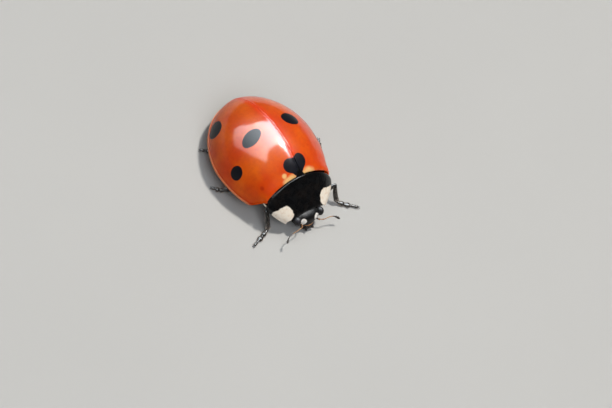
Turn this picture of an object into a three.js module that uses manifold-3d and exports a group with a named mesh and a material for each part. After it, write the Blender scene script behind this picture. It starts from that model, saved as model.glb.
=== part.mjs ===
// A seven-spot ladybird, Coccinella septempunctata, standing still at life size.
// Millimetres. The head looks along -Y, the animal's left side is +X, +Z is up, and its feet
// stand on Z = 0. The beetle is built about its own midplane and shifted at the end, so that
// the origin lies on the floor under the middle of its length.
import * as THREE from 'three';
import { mergeVertices } from 'three/addons/utils/BufferGeometryUtils.js';
import Module from 'manifold-3d';

const wasm = await Module();
wasm.setup();

// ---------------------------------------------------------------- driving dimensions

const gap = 0.03; // clearance between neighbouring plates
const weldDistance = 1e-5;
const originShift = 0.23; // brings the middle of the whole length to Y = 0

// The wing cases together are a dome. It is widest and highest at one station along the body.
const dome = {
  halfWidth: 2.87,
  station: 0.6,
  front: 3.45,
  rear: 3.42,
  height: 2.53,
  marginZ: 1.01,
  roundness: 1.97, // of the back's line from front to tail
  sectionRoundness: 1.75,
  tailRoundness: 1.8, // of the outline behind the widest station
  shoulderSquareness: 2.3, // and ahead of it
  shoulderRise: 0.7, // the side margin climbs round the shoulder
  shoulderStart: 0.58,
  shoulderEnd: 0.8,
  thickness: 0.5,
  rimDepth: 0.12,
};
const wingCaseGrid = { around: 30, along: 17 };
const coreGrid = { around: 20, along: 12 };

// The line where the wing cases meet the pronotum bows back at the middle.
const base = { y: -1.97, bow: 0.17, halfWidth: 2.6 };

const scutellum = { halfWidth: 0.24, length: 0.36 };

const body = {
  bellyZ: 0.6, // lowest line of the underside
  flatness: 0.7,
  waistY: 0.36, // the thorax ends and the abdomen starts behind the hind hips
};

// The pronotum narrows and drops towards the head.
const pronotum = {
  halfWidth: 2.07,
  taper: 0.78,
  taperPower: 1.6,
  hindEdgeZ: 1.45,
  edgeDrop: 0.68,
  hindTopZ: 2.66,
  topDrop: 1.52,
  crown: 1.55, // how round the cross-section is: 1 is a tent, 2 an ellipse
  crownGrowth: 1.05, // it is squarer towards the head
  frontY: -3.3,
  hornLength: -0.04, // the front corners lie slightly behind the middle
  thickness: 0.3,
  leastArch: 0.05, // keeps the hollow open where the shield is lowest
  rimDepth: 0.1,
  undersideZ: 0.6,
  around: 24,
  along: 4,
  overrun: 0.2, // how far the hollow under it runs past both ends, as a share of its length
};

const head = {
  center: [0, -3.12, 0.7],
  radii: [0.86, 0.55, 0.46],
};
const eye = { center: [0.73, -3.53, 0.89], radii: [0.21, 0.19, 0.27] }; // the left eye
const mouth = {
  center: [0, -3.6, 0.55],
  radii: [0.42, 0.27, 0.3],
  palpRoot: [0.28, -3.5, 0.42],
  palpTip: [0.32, -3.74, 0.32],
};

const limbRadius = 0.25; // half the thickness of the legs and feelers

// Each feeler bends outwards from beside the mouth to its club.
const antennae = {
  left: [
    [0.46, -3.55, 0.62], [0.56, -3.8, 0.64], [0.83, -3.9, 0.68],
    [1.25, -3.95, 0.68], [1.62, -4.15, 0.52],
  ],
  right: [
    [-0.46, -3.55, 0.62], [-0.6, -3.8, 0.72], [-0.96, -3.87, 0.75],
    [-1.47, -3.95, 0.75], [-1.81, -4.2, 0.65],
  ],
};
const antennaSteps = 6;

// Hips, one of each pair: centre and radii on the left side.
const hips = {
  front: { center: [0.5, -2.55, 0.52], radii: [0.42, 0.3, 0.32] },
  middle: { center: [0.7, -1.4, 0.5], radii: [0.4, 0.3, 0.3] },
  hind: { center: [0.85, 0.1, 0.5], radii: [0.6, 0.25, 0.28] },
};

// Each leg bends at the hip, the knee and the ankle. The claws need only a place on the floor.
const legs = {
  front_left: {
    hip: [0.75, -2.5, 0.6],
    knee: [2.28, -2.6, 1.08],
    ankle: [2.25, -3.1, 0.3],
    claws: [3.22, -3.9],
  },
  front_right: {
    hip: [-0.75, -2.5, 0.6],
    knee: [-1.97, -2.32, 1.05],
    ankle: [-2.02, -2.89, 0.3],
    claws: [-3.22, -3.35],
  },
  middle_left: {
    hip: [0.85, -1.4, 0.58],
    knee: [2.3, -0.65, 0.8],
    ankle: [3.38, 0.02, 0.3],
    claws: [3.78, 0.62],
  },
  middle_right: {
    hip: [-0.85, -1.4, 0.58],
    knee: [-1.75, -0.3, 0.72],
    ankle: [-2.71, 0.08, 0.3],
    claws: [-3.21, 0.63],
  },
  hind_left: {
    hip: [0.95, 0.2, 0.56],
    knee: [2.25, 1.25, 0.72],
    ankle: [1.75, 2.35, 0.3],
    claws: [2.6, 2.85],
  },
  hind_right: {
    hip: [-0.95, 0.2, 0.56],
    knee: [-2.25, 1.2, 0.72],
    ankle: [-1.6, 2.28, 0.3],
    claws: [-2.42, 2.8],
  },
};
const footAxisZ = 0.21; // below the limb's radius, so the floor cuts a narrow flat under the foot

// Radius along a limb as [fraction of its length, share of the full radius].
const limbProfiles = {
  femur: [[0, 0.72], [0.2, 1.05], [0.8, 1.05], [1, 0.72]],
  tibia: [[0, 0.72], [0.14, 1], [0.86, 1], [1, 0.74]],
  tarsus: [[0, 0.75], [0.16, 1], [0.8, 1], [1, 0.6]],
};
const limbSides = 8;
const ballGrid = { around: 10, along: 7 };
const eyeGrid = { around: 12, along: 8 };
const skullGrid = { around: 14, along: 9 };

// ---------------------------------------------------------------- finishes

function finish(color, roughness) {
  return new THREE.MeshStandardMaterial({ color, roughness, metalness: 0 });
}

const finishes = {
  wingCase: finish(0xd83c0c, 0.22),
  shield: finish(0x0b0b0d, 0.2),
  underside: finish(0x121112, 0.5),
  eye: finish(0x2b2b30, 0.35),
  mouth: finish(0x1a1412, 0.45),
  feeler: finish(0x6b4a2c, 0.5),
  leg: finish(0x141314, 0.38),
};

// ---------------------------------------------------------------- solids

// A closed geometry as a solid. Triangles that shrank to a line at a pole are left out.
function solidOf(geometry) {
  geometry.deleteAttribute('normal');
  geometry.deleteAttribute('uv');
  const welded = mergeVertices(geometry, weldDistance);
  const source = welded.index.array;
  const triangles = [];
  for (let i = 0; i < source.length; i += 3) {
    const [a, b, c] = source.slice(i, i + 3);
    if (a !== b && b !== c && c !== a) triangles.push(a, b, c);
  }
  return new wasm.Manifold(new wasm.Mesh({
    numProp: 3,
    vertProperties: new Float32Array(welded.getAttribute('position').array),
    triVerts: new Uint32Array(triangles),
  }));
}

function geometryOf(solid) {
  const mesh = solid.getMesh();
  const geometry = new THREE.BufferGeometry();
  geometry.setAttribute('position', new THREE.BufferAttribute(mesh.vertProperties, 3));
  geometry.setIndex(new THREE.BufferAttribute(mesh.triVerts, 1));
  geometry.computeVertexNormals();
  return geometry;
}

// Moves every vertex of a geometry by a function that changes the point it is given.
function reshape(geometry, move) {
  const position = geometry.getAttribute('position');
  const point = new THREE.Vector3();
  for (let i = 0; i < position.count; i += 1) {
    point.fromBufferAttribute(position, i);
    move(point);
    position.setXYZ(i, point.x, point.y, point.z);
  }
  return geometry;
}

function ellipsoid({ center, radii }, grow = 0, side = 1, grid = ballGrid) {
  const geometry = new THREE.SphereGeometry(1, grid.around, grid.along);
  geometry.scale(radii[0] + grow, radii[1] + grow, radii[2] + grow);
  geometry.translate(side * center[0], center[1], center[2]);
  return solidOf(geometry);
}

function block(size, center) {
  const geometry = new THREE.BoxGeometry(...size);
  geometry.translate(...center);
  return solidOf(geometry);
}

// A turned limb from one point to another, closed by flat ends.
function limb(from, to, profile, grow = 0) {
  const start = new THREE.Vector3(...from);
  const axis = new THREE.Vector3(...to).sub(start);
  const length = axis.length();
  const outline = [new THREE.Vector2(0, -grow)];
  for (const [share, girth] of profile) {
    const stretch = share === 0 ? -grow : share === 1 ? grow : 0;
    outline.push(new THREE.Vector2(limbRadius * girth + grow, share * length + stretch));
  }
  outline.push(new THREE.Vector2(0, length + grow));
  const geometry = new THREE.LatheGeometry(outline, limbSides);
  const turn = new THREE.Quaternion().setFromUnitVectors(
    new THREE.Vector3(0, 1, 0),
    axis.normalize(),
  );
  geometry.applyQuaternion(turn);
  geometry.translate(start.x, start.y, start.z);
  return solidOf(geometry);
}

// ---------------------------------------------------------------- wing cases and body

function superCircle(share, power) {
  return Math.max(1 - Math.abs(share) ** power, 0) ** (1 / power);
}

// The dome's form, drawn in by an inset. The upper half is the back. The lower half hangs
// below the side margin by drop(y, marginZ), which says how deep it goes at the midline.
function domeForm(grid, inset, drop, flatness = 1) {
  const geometry = new THREE.SphereGeometry(1, grid.around, grid.along);
  return solidOf(reshape(geometry, (p) => {
    const station = THREE.MathUtils.clamp(p.y, -1, 1);
    const ring = Math.sqrt(1 - station ** 2);
    const across = ring > 0 ? p.x / ring : 0;
    const up = ring > 0 ? p.z / ring : 0;
    const ahead = Math.max(-station, 0);
    const reach = (station < 0 ? dome.front : dome.rear) - inset;
    const fullness = superCircle(station, dome.roundness);
    const breadth = superCircle(station, station < 0 ? dome.shoulderSquareness : dome.tailRoundness);
    const climb = THREE.MathUtils.smoothstep(ahead, dome.shoulderStart, dome.shoulderEnd);
    const marginZ = dome.marginZ + dome.shoulderRise * climb * Math.min(2 * fullness, 1);
    const topZ = dome.marginZ + (dome.height - inset) * fullness;
    p.x = (dome.halfWidth - inset) * breadth * across;
    p.y = dome.station + reach * station;
    if (up >= 0) {
      p.z = marginZ + (topZ - marginZ) * up ** (2 / dome.sectionRoundness);
    } else {
      p.z = marginZ - drop(marginZ) * Math.sqrt(fullness) * (-up) ** flatness;
    }
  }));
}

// Everything ahead of the line where the wing cases meet the pronotum.
function aheadOfBase(offset) {
  const edge = new THREE.Shape();
  const middleY = base.y - offset;
  const sideY = middleY - base.bow * (base.halfWidth / pronotum.halfWidth) ** 2;
  edge.moveTo(-base.halfWidth, sideY);
  edge.quadraticCurveTo(0, 2 * middleY - sideY, base.halfWidth, sideY);
  edge.lineTo(base.halfWidth, sideY - 4);
  edge.lineTo(-base.halfWidth, sideY - 4);
  edge.closePath();
  return solidOf(new THREE.ExtrudeGeometry(edge, { depth: 6, bevelEnabled: false, curveSegments: 12 }));
}

function behindBase(solid) {
  return solid.subtract(aheadOfBase(0));
}

// A triangular plug that points backwards between the wing cases.
function scutellumPlug(grow) {
  const outline = new THREE.Shape();
  outline.moveTo(-scutellum.halfWidth - grow, base.y - 0.5);
  outline.lineTo(scutellum.halfWidth + grow, base.y - 0.5);
  outline.lineTo(scutellum.halfWidth + grow, base.y + 0.04);
  outline.lineTo(0.03 + grow, base.y + scutellum.length + grow);
  outline.lineTo(-0.03 - grow, base.y + scutellum.length + grow);
  outline.lineTo(-scutellum.halfWidth - grow, base.y + 0.04);
  outline.closePath();
  return solidOf(new THREE.ExtrudeGeometry(outline, { depth: 6, bevelEnabled: false }));
}

function wingCaseShell() {
  const outer = domeForm(wingCaseGrid, 0, () => dome.rimDepth);
  const hollow = domeForm(wingCaseGrid, dome.thickness, () => dome.marginZ);
  return behindBase(outer.subtract(hollow));
}

function sideOf(solid, side) {
  const reach = 10;
  const half = block([reach, 2 * reach, 2 * reach], [side * (reach / 2 + gap / 2), 0, 0]);
  return solid.intersect(half);
}

function bodyCore() {
  const inset = dome.thickness + 2 * gap;
  return behindBase(domeForm(coreGrid, inset, (marginZ) => marginZ - body.bellyZ, body.flatness));
}

// The part of the body between two stations along Y.
function lengthOf(solid, fromY, toY) {
  const middle = (fromY + toY) / 2;
  return solid.intersect(block([20, toY - fromY, 20], [0, middle, 0]));
}

// ---------------------------------------------------------------- pronotum

// The pronotum's form, drawn in by an inset. It can overrun both ends by a share of its length.
function pronotumForm(inset, overrun, underside) {
  const geometry = new THREE.CylinderGeometry(1, 1, 1, pronotum.around, pronotum.along);
  return solidOf(reshape(geometry, (p) => {
    const forward = (0.5 - p.y) * (1 + 2 * overrun) - overrun;
    const across = p.x;
    const hindY = base.y - gap - base.bow * across ** 2;
    const frontY = pronotum.frontY - pronotum.hornLength * Math.abs(across) ** 1.5;
    const ahead = Math.max(forward, 0);
    const halfWidth = pronotum.halfWidth - pronotum.taper * ahead ** pronotum.taperPower - inset;
    const edgeZ = pronotum.hindEdgeZ - pronotum.edgeDrop * ahead ** 1.2;
    const crown = pronotum.crown + pronotum.crownGrowth * ahead;
    const arch = pronotum.hindTopZ - pronotum.topDrop * forward - inset;
    const topZ = Math.max(arch, edgeZ + pronotum.leastArch);
    const atRim = Math.hypot(p.x, p.z) > 0.5;
    p.x = halfWidth * across;
    p.y = hindY + (frontY - hindY) * forward;
    if (p.z >= 0 && atRim) {
      p.z = edgeZ + (topZ - edgeZ) * superCircle(across, crown);
    } else {
      p.z = edgeZ + p.z * underside(edgeZ);
    }
  }));
}

function pronotumShield(grow = 0) {
  const outer = pronotumForm(-grow, grow, () => pronotum.rimDepth + grow);
  const hollow = pronotumForm(pronotum.thickness + grow, pronotum.overrun, () => 1.5);
  return outer.subtract(hollow);
}

// The solid ring of the first thorax segment under the shield.
function prothoraxCore() {
  const inset = pronotum.thickness + 2 * gap;
  return pronotumForm(inset, 0, (edgeZ) => edgeZ - pronotum.undersideZ);
}

// ---------------------------------------------------------------- head

function palp(side) {
  const root = [side * mouth.palpRoot[0], mouth.palpRoot[1], mouth.palpRoot[2]];
  const tip = [side * mouth.palpTip[0], mouth.palpTip[1], mouth.palpTip[2]];
  return limb(root, tip, limbProfiles.tibia);
}

function mouthparts(grow = 0) {
  const lips = ellipsoid(mouth, grow);
  return lips.add(palp(-1)).add(palp(1));
}

// A feeler: a bent rod with round ends and a slightly thicker club.
function antenna(points, grow = 0) {
  const route = new THREE.CatmullRomCurve3(points.map((p) => new THREE.Vector3(...p)));
  const section = new THREE.Shape();
  section.absarc(0, 0, limbRadius * 0.9 + grow, 0, 2 * Math.PI);
  const rod = new THREE.ExtrudeGeometry(section, {
    extrudePath: route,
    steps: antennaSteps,
    curveSegments: 4,
    bevelEnabled: false,
  });
  const tip = points[points.length - 1];
  const clubRadius = limbRadius + grow;
  const club = ellipsoid({ center: tip, radii: [clubRadius, clubRadius, clubRadius] });
  return solidOf(rod).add(club);
}

// ---------------------------------------------------------------- legs

function aboveFloor(solid) {
  return solid.subtract(block([20, 20, 2], [0, 0, -1]));
}

// One leg's four sections, and the same sections grown by the gap to cut their neighbours.
function legSections(name) {
  const { hip, knee, ankle, claws } = legs[name];
  const [pair, hand] = name.split('_');
  const side = hand === 'left' ? 1 : -1;
  const heel = [ankle[0], ankle[1], footAxisZ];
  const toe = [claws[0], claws[1], footAxisZ];
  const grown = {
    coxa: ellipsoid(hips[pair], gap, side),
    femur: limb(hip, knee, limbProfiles.femur, gap),
    tibia: limb(knee, ankle, limbProfiles.tibia, gap),
    tarsus: limb(heel, toe, limbProfiles.tarsus, gap),
  };
  const solids = {
    coxa: ellipsoid(hips[pair], 0, side),
    femur: limb(hip, knee, limbProfiles.femur).subtract(grown.coxa),
    tibia: limb(knee, ankle, limbProfiles.tibia).subtract(grown.femur),
    tarsus: aboveFloor(limb(heel, toe, limbProfiles.tarsus)).subtract(grown.tibia),
  };
  return { solids, grown };
}

// ---------------------------------------------------------------- assembly

const parts = [];

function addPart(name, solid, material) {
  parts.push({ name, solid, material });
}

const legCutters = [];
for (const name of Object.keys(legs)) {
  const { solids, grown } = legSections(name);
  for (const [section, solid] of Object.entries(solids)) {
    addPart(`leg_${name}_${section}`, solid, finishes.leg);
  }
  legCutters.push(...Object.values(grown));
}
const clearOfLegs = (solid) => legCutters.reduce((rest, cutter) => rest.subtract(cutter), solid);

const shell = wingCaseShell();
const plug = scutellumPlug(0);
const wingCases = clearOfLegs(shell.subtract(scutellumPlug(gap)));
addPart('elytron_left', sideOf(wingCases, 1), finishes.wingCase);
addPart('elytron_right', sideOf(wingCases, -1), finishes.wingCase);
addPart('scutellum', shell.intersect(plug), finishes.shield);

const core = clearOfLegs(bodyCore());
addPart('thorax', lengthOf(core, -4, body.waistY - gap / 2), finishes.underside);
addPart('abdomen', lengthOf(core, body.waistY + gap / 2, 5), finishes.underside);

const eyes = [1, -1].map((side) => ellipsoid(eye, 0, side, eyeGrid));
const eyesGrown = [1, -1].map((side) => ellipsoid(eye, gap, side, eyeGrid));
const clearOfEyes = (solid) => solid.subtract(eyesGrown[0]).subtract(eyesGrown[1]);
const shield = clearOfEyes(clearOfLegs(pronotumShield()));
const shieldGrown = pronotumShield(gap);
const headGrown = ellipsoid(head, gap, 1, skullGrid);
addPart('pronotum', shield, finishes.shield);
addPart('prothorax', clearOfEyes(clearOfLegs(prothoraxCore()).subtract(headGrown)), finishes.underside);

const skull = ellipsoid(head, 0, 1, skullGrid).subtract(shieldGrown);
addPart('head', clearOfEyes(clearOfLegs(skull)), finishes.shield);
addPart('eye_left', eyes[0], finishes.eye);
addPart('eye_right', eyes[1], finishes.eye);

const mouthSolid = mouthparts();
addPart('mouthparts', mouthSolid.subtract(headGrown), finishes.mouth);
for (const side of ['left', 'right']) {
  const feeler = antenna(antennae[side]);
  const clear = feeler.subtract(headGrown).subtract(mouthparts(gap));
  addPart(`antenna_${side}`, clearOfEyes(clear), finishes.feeler);
}

const ladybird = new THREE.Group();
for (const { name, solid, material } of parts) {
  const mesh = new THREE.Mesh(geometryOf(solid), material);
  mesh.name = name;
  ladybird.add(mesh);
}
ladybird.position.set(0, originShift, 0);

const scene = new THREE.Group();
scene.add(ladybird);

export default scene;
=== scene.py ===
import math
import random

import bmesh
import bpy
from mathutils import Matrix, Vector


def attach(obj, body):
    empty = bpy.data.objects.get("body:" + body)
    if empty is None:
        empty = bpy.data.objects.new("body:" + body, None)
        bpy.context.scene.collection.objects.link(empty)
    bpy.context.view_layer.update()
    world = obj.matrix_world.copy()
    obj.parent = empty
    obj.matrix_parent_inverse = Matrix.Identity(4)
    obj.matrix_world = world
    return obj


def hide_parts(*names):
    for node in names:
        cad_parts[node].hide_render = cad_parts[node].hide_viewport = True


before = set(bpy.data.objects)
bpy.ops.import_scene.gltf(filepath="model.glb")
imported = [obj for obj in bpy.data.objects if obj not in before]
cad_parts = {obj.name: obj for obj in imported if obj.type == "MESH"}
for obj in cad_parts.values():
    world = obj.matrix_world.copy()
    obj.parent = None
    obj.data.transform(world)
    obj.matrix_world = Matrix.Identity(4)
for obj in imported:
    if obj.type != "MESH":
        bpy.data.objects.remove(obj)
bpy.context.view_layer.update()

mm = 0.001
bodyShift = 0.23  # the body is modelled about its own midpoint, this many mm ahead of the origin


# camera

view = {
    "azimuth": -54.69,  # degrees round the beetle, 0 looks along +Y
    "elevation": 53.71,
    "roll": 23.6,
    "distance": 225.0,  # mm
    "lens": 260.1,
    "sensor": 36.0,
    "target": (-0.064, -3.05, 1.5),  # mm, the point in the middle of the picture
}


def aimCamera():
    azimuth, elevation = math.radians(view["azimuth"]), math.radians(view["elevation"])
    back = Vector((
        math.sin(azimuth) * math.cos(elevation),
        -math.cos(azimuth) * math.cos(elevation),
        math.sin(elevation),
    ))
    target = Vector(view["target"]) + Vector((0, bodyShift, 0))
    turn = back.to_track_quat("Z", "Y").to_matrix()
    turn = turn @ Matrix.Rotation(math.radians(view["roll"]), 3, "Z")
    lens = bpy.data.cameras.new("camera")
    lens.lens = view["lens"]
    lens.sensor_width = view["sensor"]
    lens.clip_start = 0.01
    lens.clip_end = 20
    camera = bpy.data.objects.new("camera", lens)
    camera.matrix_world = Matrix.Translation((target + back * view["distance"]) * mm) @ turn.to_4x4()
    bpy.context.scene.collection.objects.link(camera)
    bpy.context.scene.camera = camera


aimCamera()
print("camera placed")


# mesh tools

def movePoints(bm, rule):
    for vert in bm.verts:
        vert.co = rule(vert.co.copy())


def gridSheet(columns, rows, rule):
    # a sheet whose point at (column, row) is set by a rule
    bm = bmesh.new()
    bmesh.ops.create_grid(bm, x_segments=columns, y_segments=rows, size=0.5)
    movePoints(bm, lambda p: rule(round((p.x + 0.5) * columns), round((p.y + 0.5) * rows)))
    return bm


def turnedSolid(profile, steps=20):
    # a solid of revolution about Z from (height, radius) pairs, closed at both ends
    bm = bmesh.new()
    verts = [bm.verts.new((radius, 0, height)) for height, radius in profile]
    edges = [bm.edges.new(pair) for pair in zip(verts, verts[1:])]
    bmesh.ops.spin(
        bm, geom=verts + edges, axis=(0, 0, 1), cent=(0, 0, 0),
        steps=steps, angle=2 * math.pi, use_merge=True,
    )
    bmesh.ops.remove_doubles(bm, verts=bm.verts, dist=1e-5)
    bmesh.ops.holes_fill(bm, edges=bm.edges, sides=0)
    return bm


def ballSolid(center, radii, segments=48, rings=32):
    bm = bmesh.new()
    bmesh.ops.create_uvsphere(bm, u_segments=segments, v_segments=rings, radius=1)
    bmesh.ops.scale(bm, vec=radii, verts=bm.verts)
    bmesh.ops.translate(bm, vec=center, verts=bm.verts)
    return bm


def meshFrom(bm, name):
    mesh = bpy.data.meshes.new(name)
    bm.to_mesh(mesh)
    bm.free()
    return mesh


def addObject(name, mesh, material):
    mesh.materials.append(material)
    added = bpy.data.objects.new(name, mesh)
    bpy.context.scene.collection.objects.link(added)
    return added


def boxyBall(p, power):
    # moves a point of a ball onto a squarer one
    return p / (abs(p.x) ** power + abs(p.y) ** power + abs(p.z) ** power) ** (1 / power)


def joinInto(bm, other):
    mesh = meshFrom(other, "joining")
    bm.from_mesh(mesh)
    bpy.data.meshes.remove(mesh)


def faceTowards(bm, way):
    # turns an open sheet so that most of it faces this way
    bmesh.ops.recalc_face_normals(bm, faces=bm.faces)
    if sum(face.normal.dot(way) * face.calc_area() for face in bm.faces) < 0:
        bmesh.ops.reverse_faces(bm, faces=bm.faces)


def thicken(bm, depth):
    # gives a sheet a wall on its inner side, with closed edges
    made = bmesh.ops.extrude_face_region(bm, geom=bm.faces[:], use_keep_orig=True)
    inner = [item for item in made["geom"] if isinstance(item, bmesh.types.BMVert)]
    bm.normal_update()
    for vert in inner:
        vert.co -= vert.normal * depth
    return bm


def mirrored(bm):
    bmesh.ops.scale(bm, vec=(-1, 1, 1), verts=bm.verts)
    bmesh.ops.reverse_faces(bm, faces=bm.faces)
    return bm


def finishPiece(bm, name, material, nodes=(), sharpAngle=None):
    bmesh.ops.recalc_face_normals(bm, faces=bm.faces)
    bmesh.ops.translate(bm, vec=(0, bodyShift, 0), verts=bm.verts)
    bmesh.ops.scale(bm, vec=(mm, mm, mm), verts=bm.verts)
    mesh = meshFrom(bm, name)
    mesh.shade_smooth()
    if sharpAngle:
        mesh.set_sharp_from_angle(angle=math.radians(sharpAngle))
    piece = addObject(name, mesh, material)
    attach(piece, "root")
    if nodes:
        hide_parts(*nodes)


# material tools

def newMaterial(name, roughness=0.4, specular=0.5, coat=0.0, coatRoughness=0.03):
    material = bpy.data.materials.new(name)
    material.use_nodes = True
    shader = material.node_tree.nodes["Principled BSDF"]
    shader.inputs["Roughness"].default_value = roughness
    shader.inputs["Specular IOR Level"].default_value = specular
    shader.inputs["Coat Weight"].default_value = coat
    shader.inputs["Coat Roughness"].default_value = coatRoughness
    return material, Nodes(material.node_tree), shader


def mottledMaterial(name, first, second, patches, gloss, relief=None, **settings):
    # two tones in soft patches, an uneven gloss and, where it is given, a fine relief
    material, nodes, shader = newMaterial(name, **settings)
    scale, detail, low, high = patches
    color = nodes.mix(nodes.remap(nodes.noise(scale, detail), low, high), first, second)
    nodes.join(color, shader.inputs["Base Color"])
    if relief:
        scale, depth, strength = relief
        nodes.join(nodes.bump(nodes.noise(scale), depth, strength), shader.inputs["Normal"])
    scale, smoothest, roughest = gloss
    nodes.join(nodes.remap(nodes.noise(scale), 0.3, 0.7, smoothest, roughest), shader.inputs["Roughness"])
    return material


class Nodes:
    # short ways to add and join shader nodes; coordinates are the beetle's own, in mm

    def __init__(self, tree):
        self.tree = tree
        coords = tree.nodes.new("ShaderNodeTexCoord").outputs["Object"]
        self.place = self.mapping(coords, location=(0, -bodyShift, 0), scale=(1000, 1000, 1000))
        self.xyz = self.add("ShaderNodeSeparateXYZ", {0: self.place}).outputs

    def add(self, kind, inputs=None, **settings):
        node = self.tree.nodes.new(kind)
        for key, value in settings.items():
            setattr(node, key, value)
        for key, value in (inputs or {}).items():
            if isinstance(value, bpy.types.NodeSocket):
                self.tree.links.new(value, node.inputs[key])
            else:
                node.inputs[key].default_value = value
        return node

    def mapping(self, vector, location=(0, 0, 0), rotation=(0, 0, 0), scale=(1, 1, 1), kind="POINT"):
        return self.add("ShaderNodeMapping", {
            "Vector": vector, "Location": location, "Rotation": rotation, "Scale": scale,
        }, vector_type=kind).outputs["Vector"]

    def math(self, operation, first, second=0.0, third=0.0):
        node = self.add("ShaderNodeMath", {0: first, 1: second}, operation=operation)
        if operation in ("SMOOTH_MIN", "SMOOTH_MAX", "MULTIPLY_ADD"):
            node.inputs[2].default_value = third
        return node.outputs["Value"]

    def vectorMath(self, operation, first, second=(0, 0, 0)):
        node = self.add("ShaderNodeVectorMath", {0: first, 1: second}, operation=operation)
        return node.outputs["Value" if operation in ("LENGTH", "DOT_PRODUCT") else "Vector"]

    def noise(self, scale, detail=3.0, roughness=0.5, vector=None):
        return self.add("ShaderNodeTexNoise", {
            "Vector": vector or self.place, "Scale": scale, "Detail": detail, "Roughness": roughness,
        }).outputs["Fac"]

    def cells(self, scale):
        # the distance to the nearest cell's middle
        return self.add("ShaderNodeTexVoronoi", {"Vector": self.place, "Scale": scale}).outputs["Distance"]

    def remap(self, value, low, high, toLow=0.0, toHigh=1.0, smooth=True):
        return self.add("ShaderNodeMapRange", {
            "Value": value, "From Min": low, "From Max": high, "To Min": toLow, "To Max": toHigh,
        }, interpolation_type="SMOOTHSTEP" if smooth else "LINEAR").outputs["Result"]

    def mix(self, factor, first, second, blend="MIX"):
        node = self.add("ShaderNodeMix", {"Factor": factor}, data_type="RGBA", blend_type=blend)
        for socket, value in ((node.inputs[6], first), (node.inputs[7], second)):
            if isinstance(value, bpy.types.NodeSocket):
                self.tree.links.new(value, socket)
            else:
                socket.default_value = (*value, 1)
        return node.outputs[2]

    def blob(self, center, axes):
        # 0 in the middle of an ellipsoid with these three half axes, 1 on its skin
        turn = Matrix([axis.normalized() for axis in axes]).transposed().to_euler()
        sizes = [axis.length for axis in axes]
        local = self.mapping(self.place, center, turn, sizes, kind="TEXTURE")
        return self.vectorMath("LENGTH", local)

    def bump(self, height, distance, strength=1.0, normal=None):
        inputs = {"Height": height, "Distance": distance, "Strength": strength}
        if normal:
            inputs["Normal"] = normal
        return self.add("ShaderNodeBump", inputs).outputs["Normal"]

    def join(self, value, socket):
        self.tree.links.new(value, socket)


# the dome of the wing cases, all in mm

dome = {
    "halfWidth": 2.85,
    "station": 0.60,  # where it is widest and highest
    "front": 3.45,
    "rear": 3.40,
    "marginZ": 1.01,
    "height": 2.53,
    "roundness": 1.97,  # of the back's line from front to tail
    "section": 1.75,
    "tail": 1.8,  # of the outline behind the widest station
    "squareness": 2.3,  # and ahead of it
    "shoulderRise": 0.72,
    "shoulderStart": 0.58,
    "shoulderEnd": 0.8,
}
base = {"y": -1.985, "bow": 0.17, "width": 2.07}


def superCurve(share, power):
    return max(1 - abs(share) ** power, 0) ** (1 / power)


def smoothStep(value, low, high):
    share = min(max((value - low) / (high - low), 0), 1)
    return share * share * (3 - 2 * share)


def domePoint(station, angle, inset=0.0):
    # station -1 is the front and 1 the tail; angle 0 is the side margin and 90 degrees the back
    fullness = superCurve(station, dome["roundness"])
    breadth = superCurve(station, dome["squareness"] if station < 0 else dome["tail"])
    climb = smoothStep(-station, dome["shoulderStart"], dome["shoulderEnd"])
    marginZ = dome["marginZ"] + dome["shoulderRise"] * climb * min(2 * fullness, 1)
    topZ = dome["marginZ"] + (dome["height"] - inset) * fullness
    reach = (dome["front"] if station < 0 else dome["rear"]) - inset
    return Vector((
        (dome["halfWidth"] - inset) * breadth * math.cos(angle),
        dome["station"] + reach * station,
        marginZ + (topZ - marginZ) * math.sin(angle) ** (2 / dome["section"]),
    ))


def domeSpot(x, y):
    # the point of the dome over (x, y), and the way it faces
    def heightAt(x, y):
        station = (y - dome["station"]) / (dome["front"] if y < dome["station"] else dome["rear"])
        margin = domePoint(station, 0)
        return domePoint(station, math.acos(min(abs(x) / margin.x, 1))).z
    step = 0.01
    slopeX = (heightAt(x + step, y) - heightAt(x - step, y)) / (2 * step)
    slopeY = (heightAt(x, y + step) - heightAt(x, y - step)) / (2 * step)
    return Vector((x, y, heightAt(x, y))), Vector((-slopeX, -slopeY, 1)).normalized()


# wing cases

wingCase = {
    "seam": 0.0015,  # half the gap between the two
    "thickness": 0.07,
    "columns": 72,
    "rows": 130,
    "seamRoll": 0.010,  # how far the edge rounds down beside the seam
    "seamRollWidth": 0.014,
    "seamRidge": 0.014,
    "seamRidgeAt": 0.05,
    "seamRidgeWidth": 0.05,
    "baseRoll": 0.07,
    "baseRollWidth": 0.06,
    "facing": (8.35, 12.0, 5.95),  # squares of the half axes that stand in for the dome's when it swells
    "callus": (2.0, -1.35, 0.05, 0.42),  # x, y, height and width of the swelling at the shoulder
    # from the side margin, out and up: the groove, the rim bead, the fold underneath and its lip
    "edge": (
        (0.008, -0.02), (0.02, -0.031), (0.034, -0.031), (0.046, -0.02), (0.058, -0.018),
        (0.068, -0.028), (0.07, -0.044), (0.062, -0.06), (0.04, -0.07), (0.0, -0.07),
        (-0.12, -0.055), (-0.26, -0.04), (-0.38, -0.012), (-0.42, 0.04), (-0.43, 0.14),
    ),
}


scutellum = {
    "halfWidth": 0.24,
    "length": 0.36,
    "sink": 0.04,  # how far the wing cases lie below it
    "rise": 0.012,
    "thickness": 0.06,
    "columns": 16,
    "rows": 20,
}


def scutellumShare(y):
    # its width at y, as a share of its full width
    return min(max(1 - (y - base["y"]) / scutellum["length"], 0), 1)


def baseLine(x):
    return base["y"] - base["bow"] * (x / base["width"]) ** 2


def baseStation(angle):
    # where the front edge of the wing cases crosses a line of equal angle
    y = base["y"]
    for _ in range(12):
        station = (y - dome["station"]) / dome["front"]
        y = baseLine(domePoint(station, angle).x)
    return (y - dome["station"]) / dome["front"]


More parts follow.
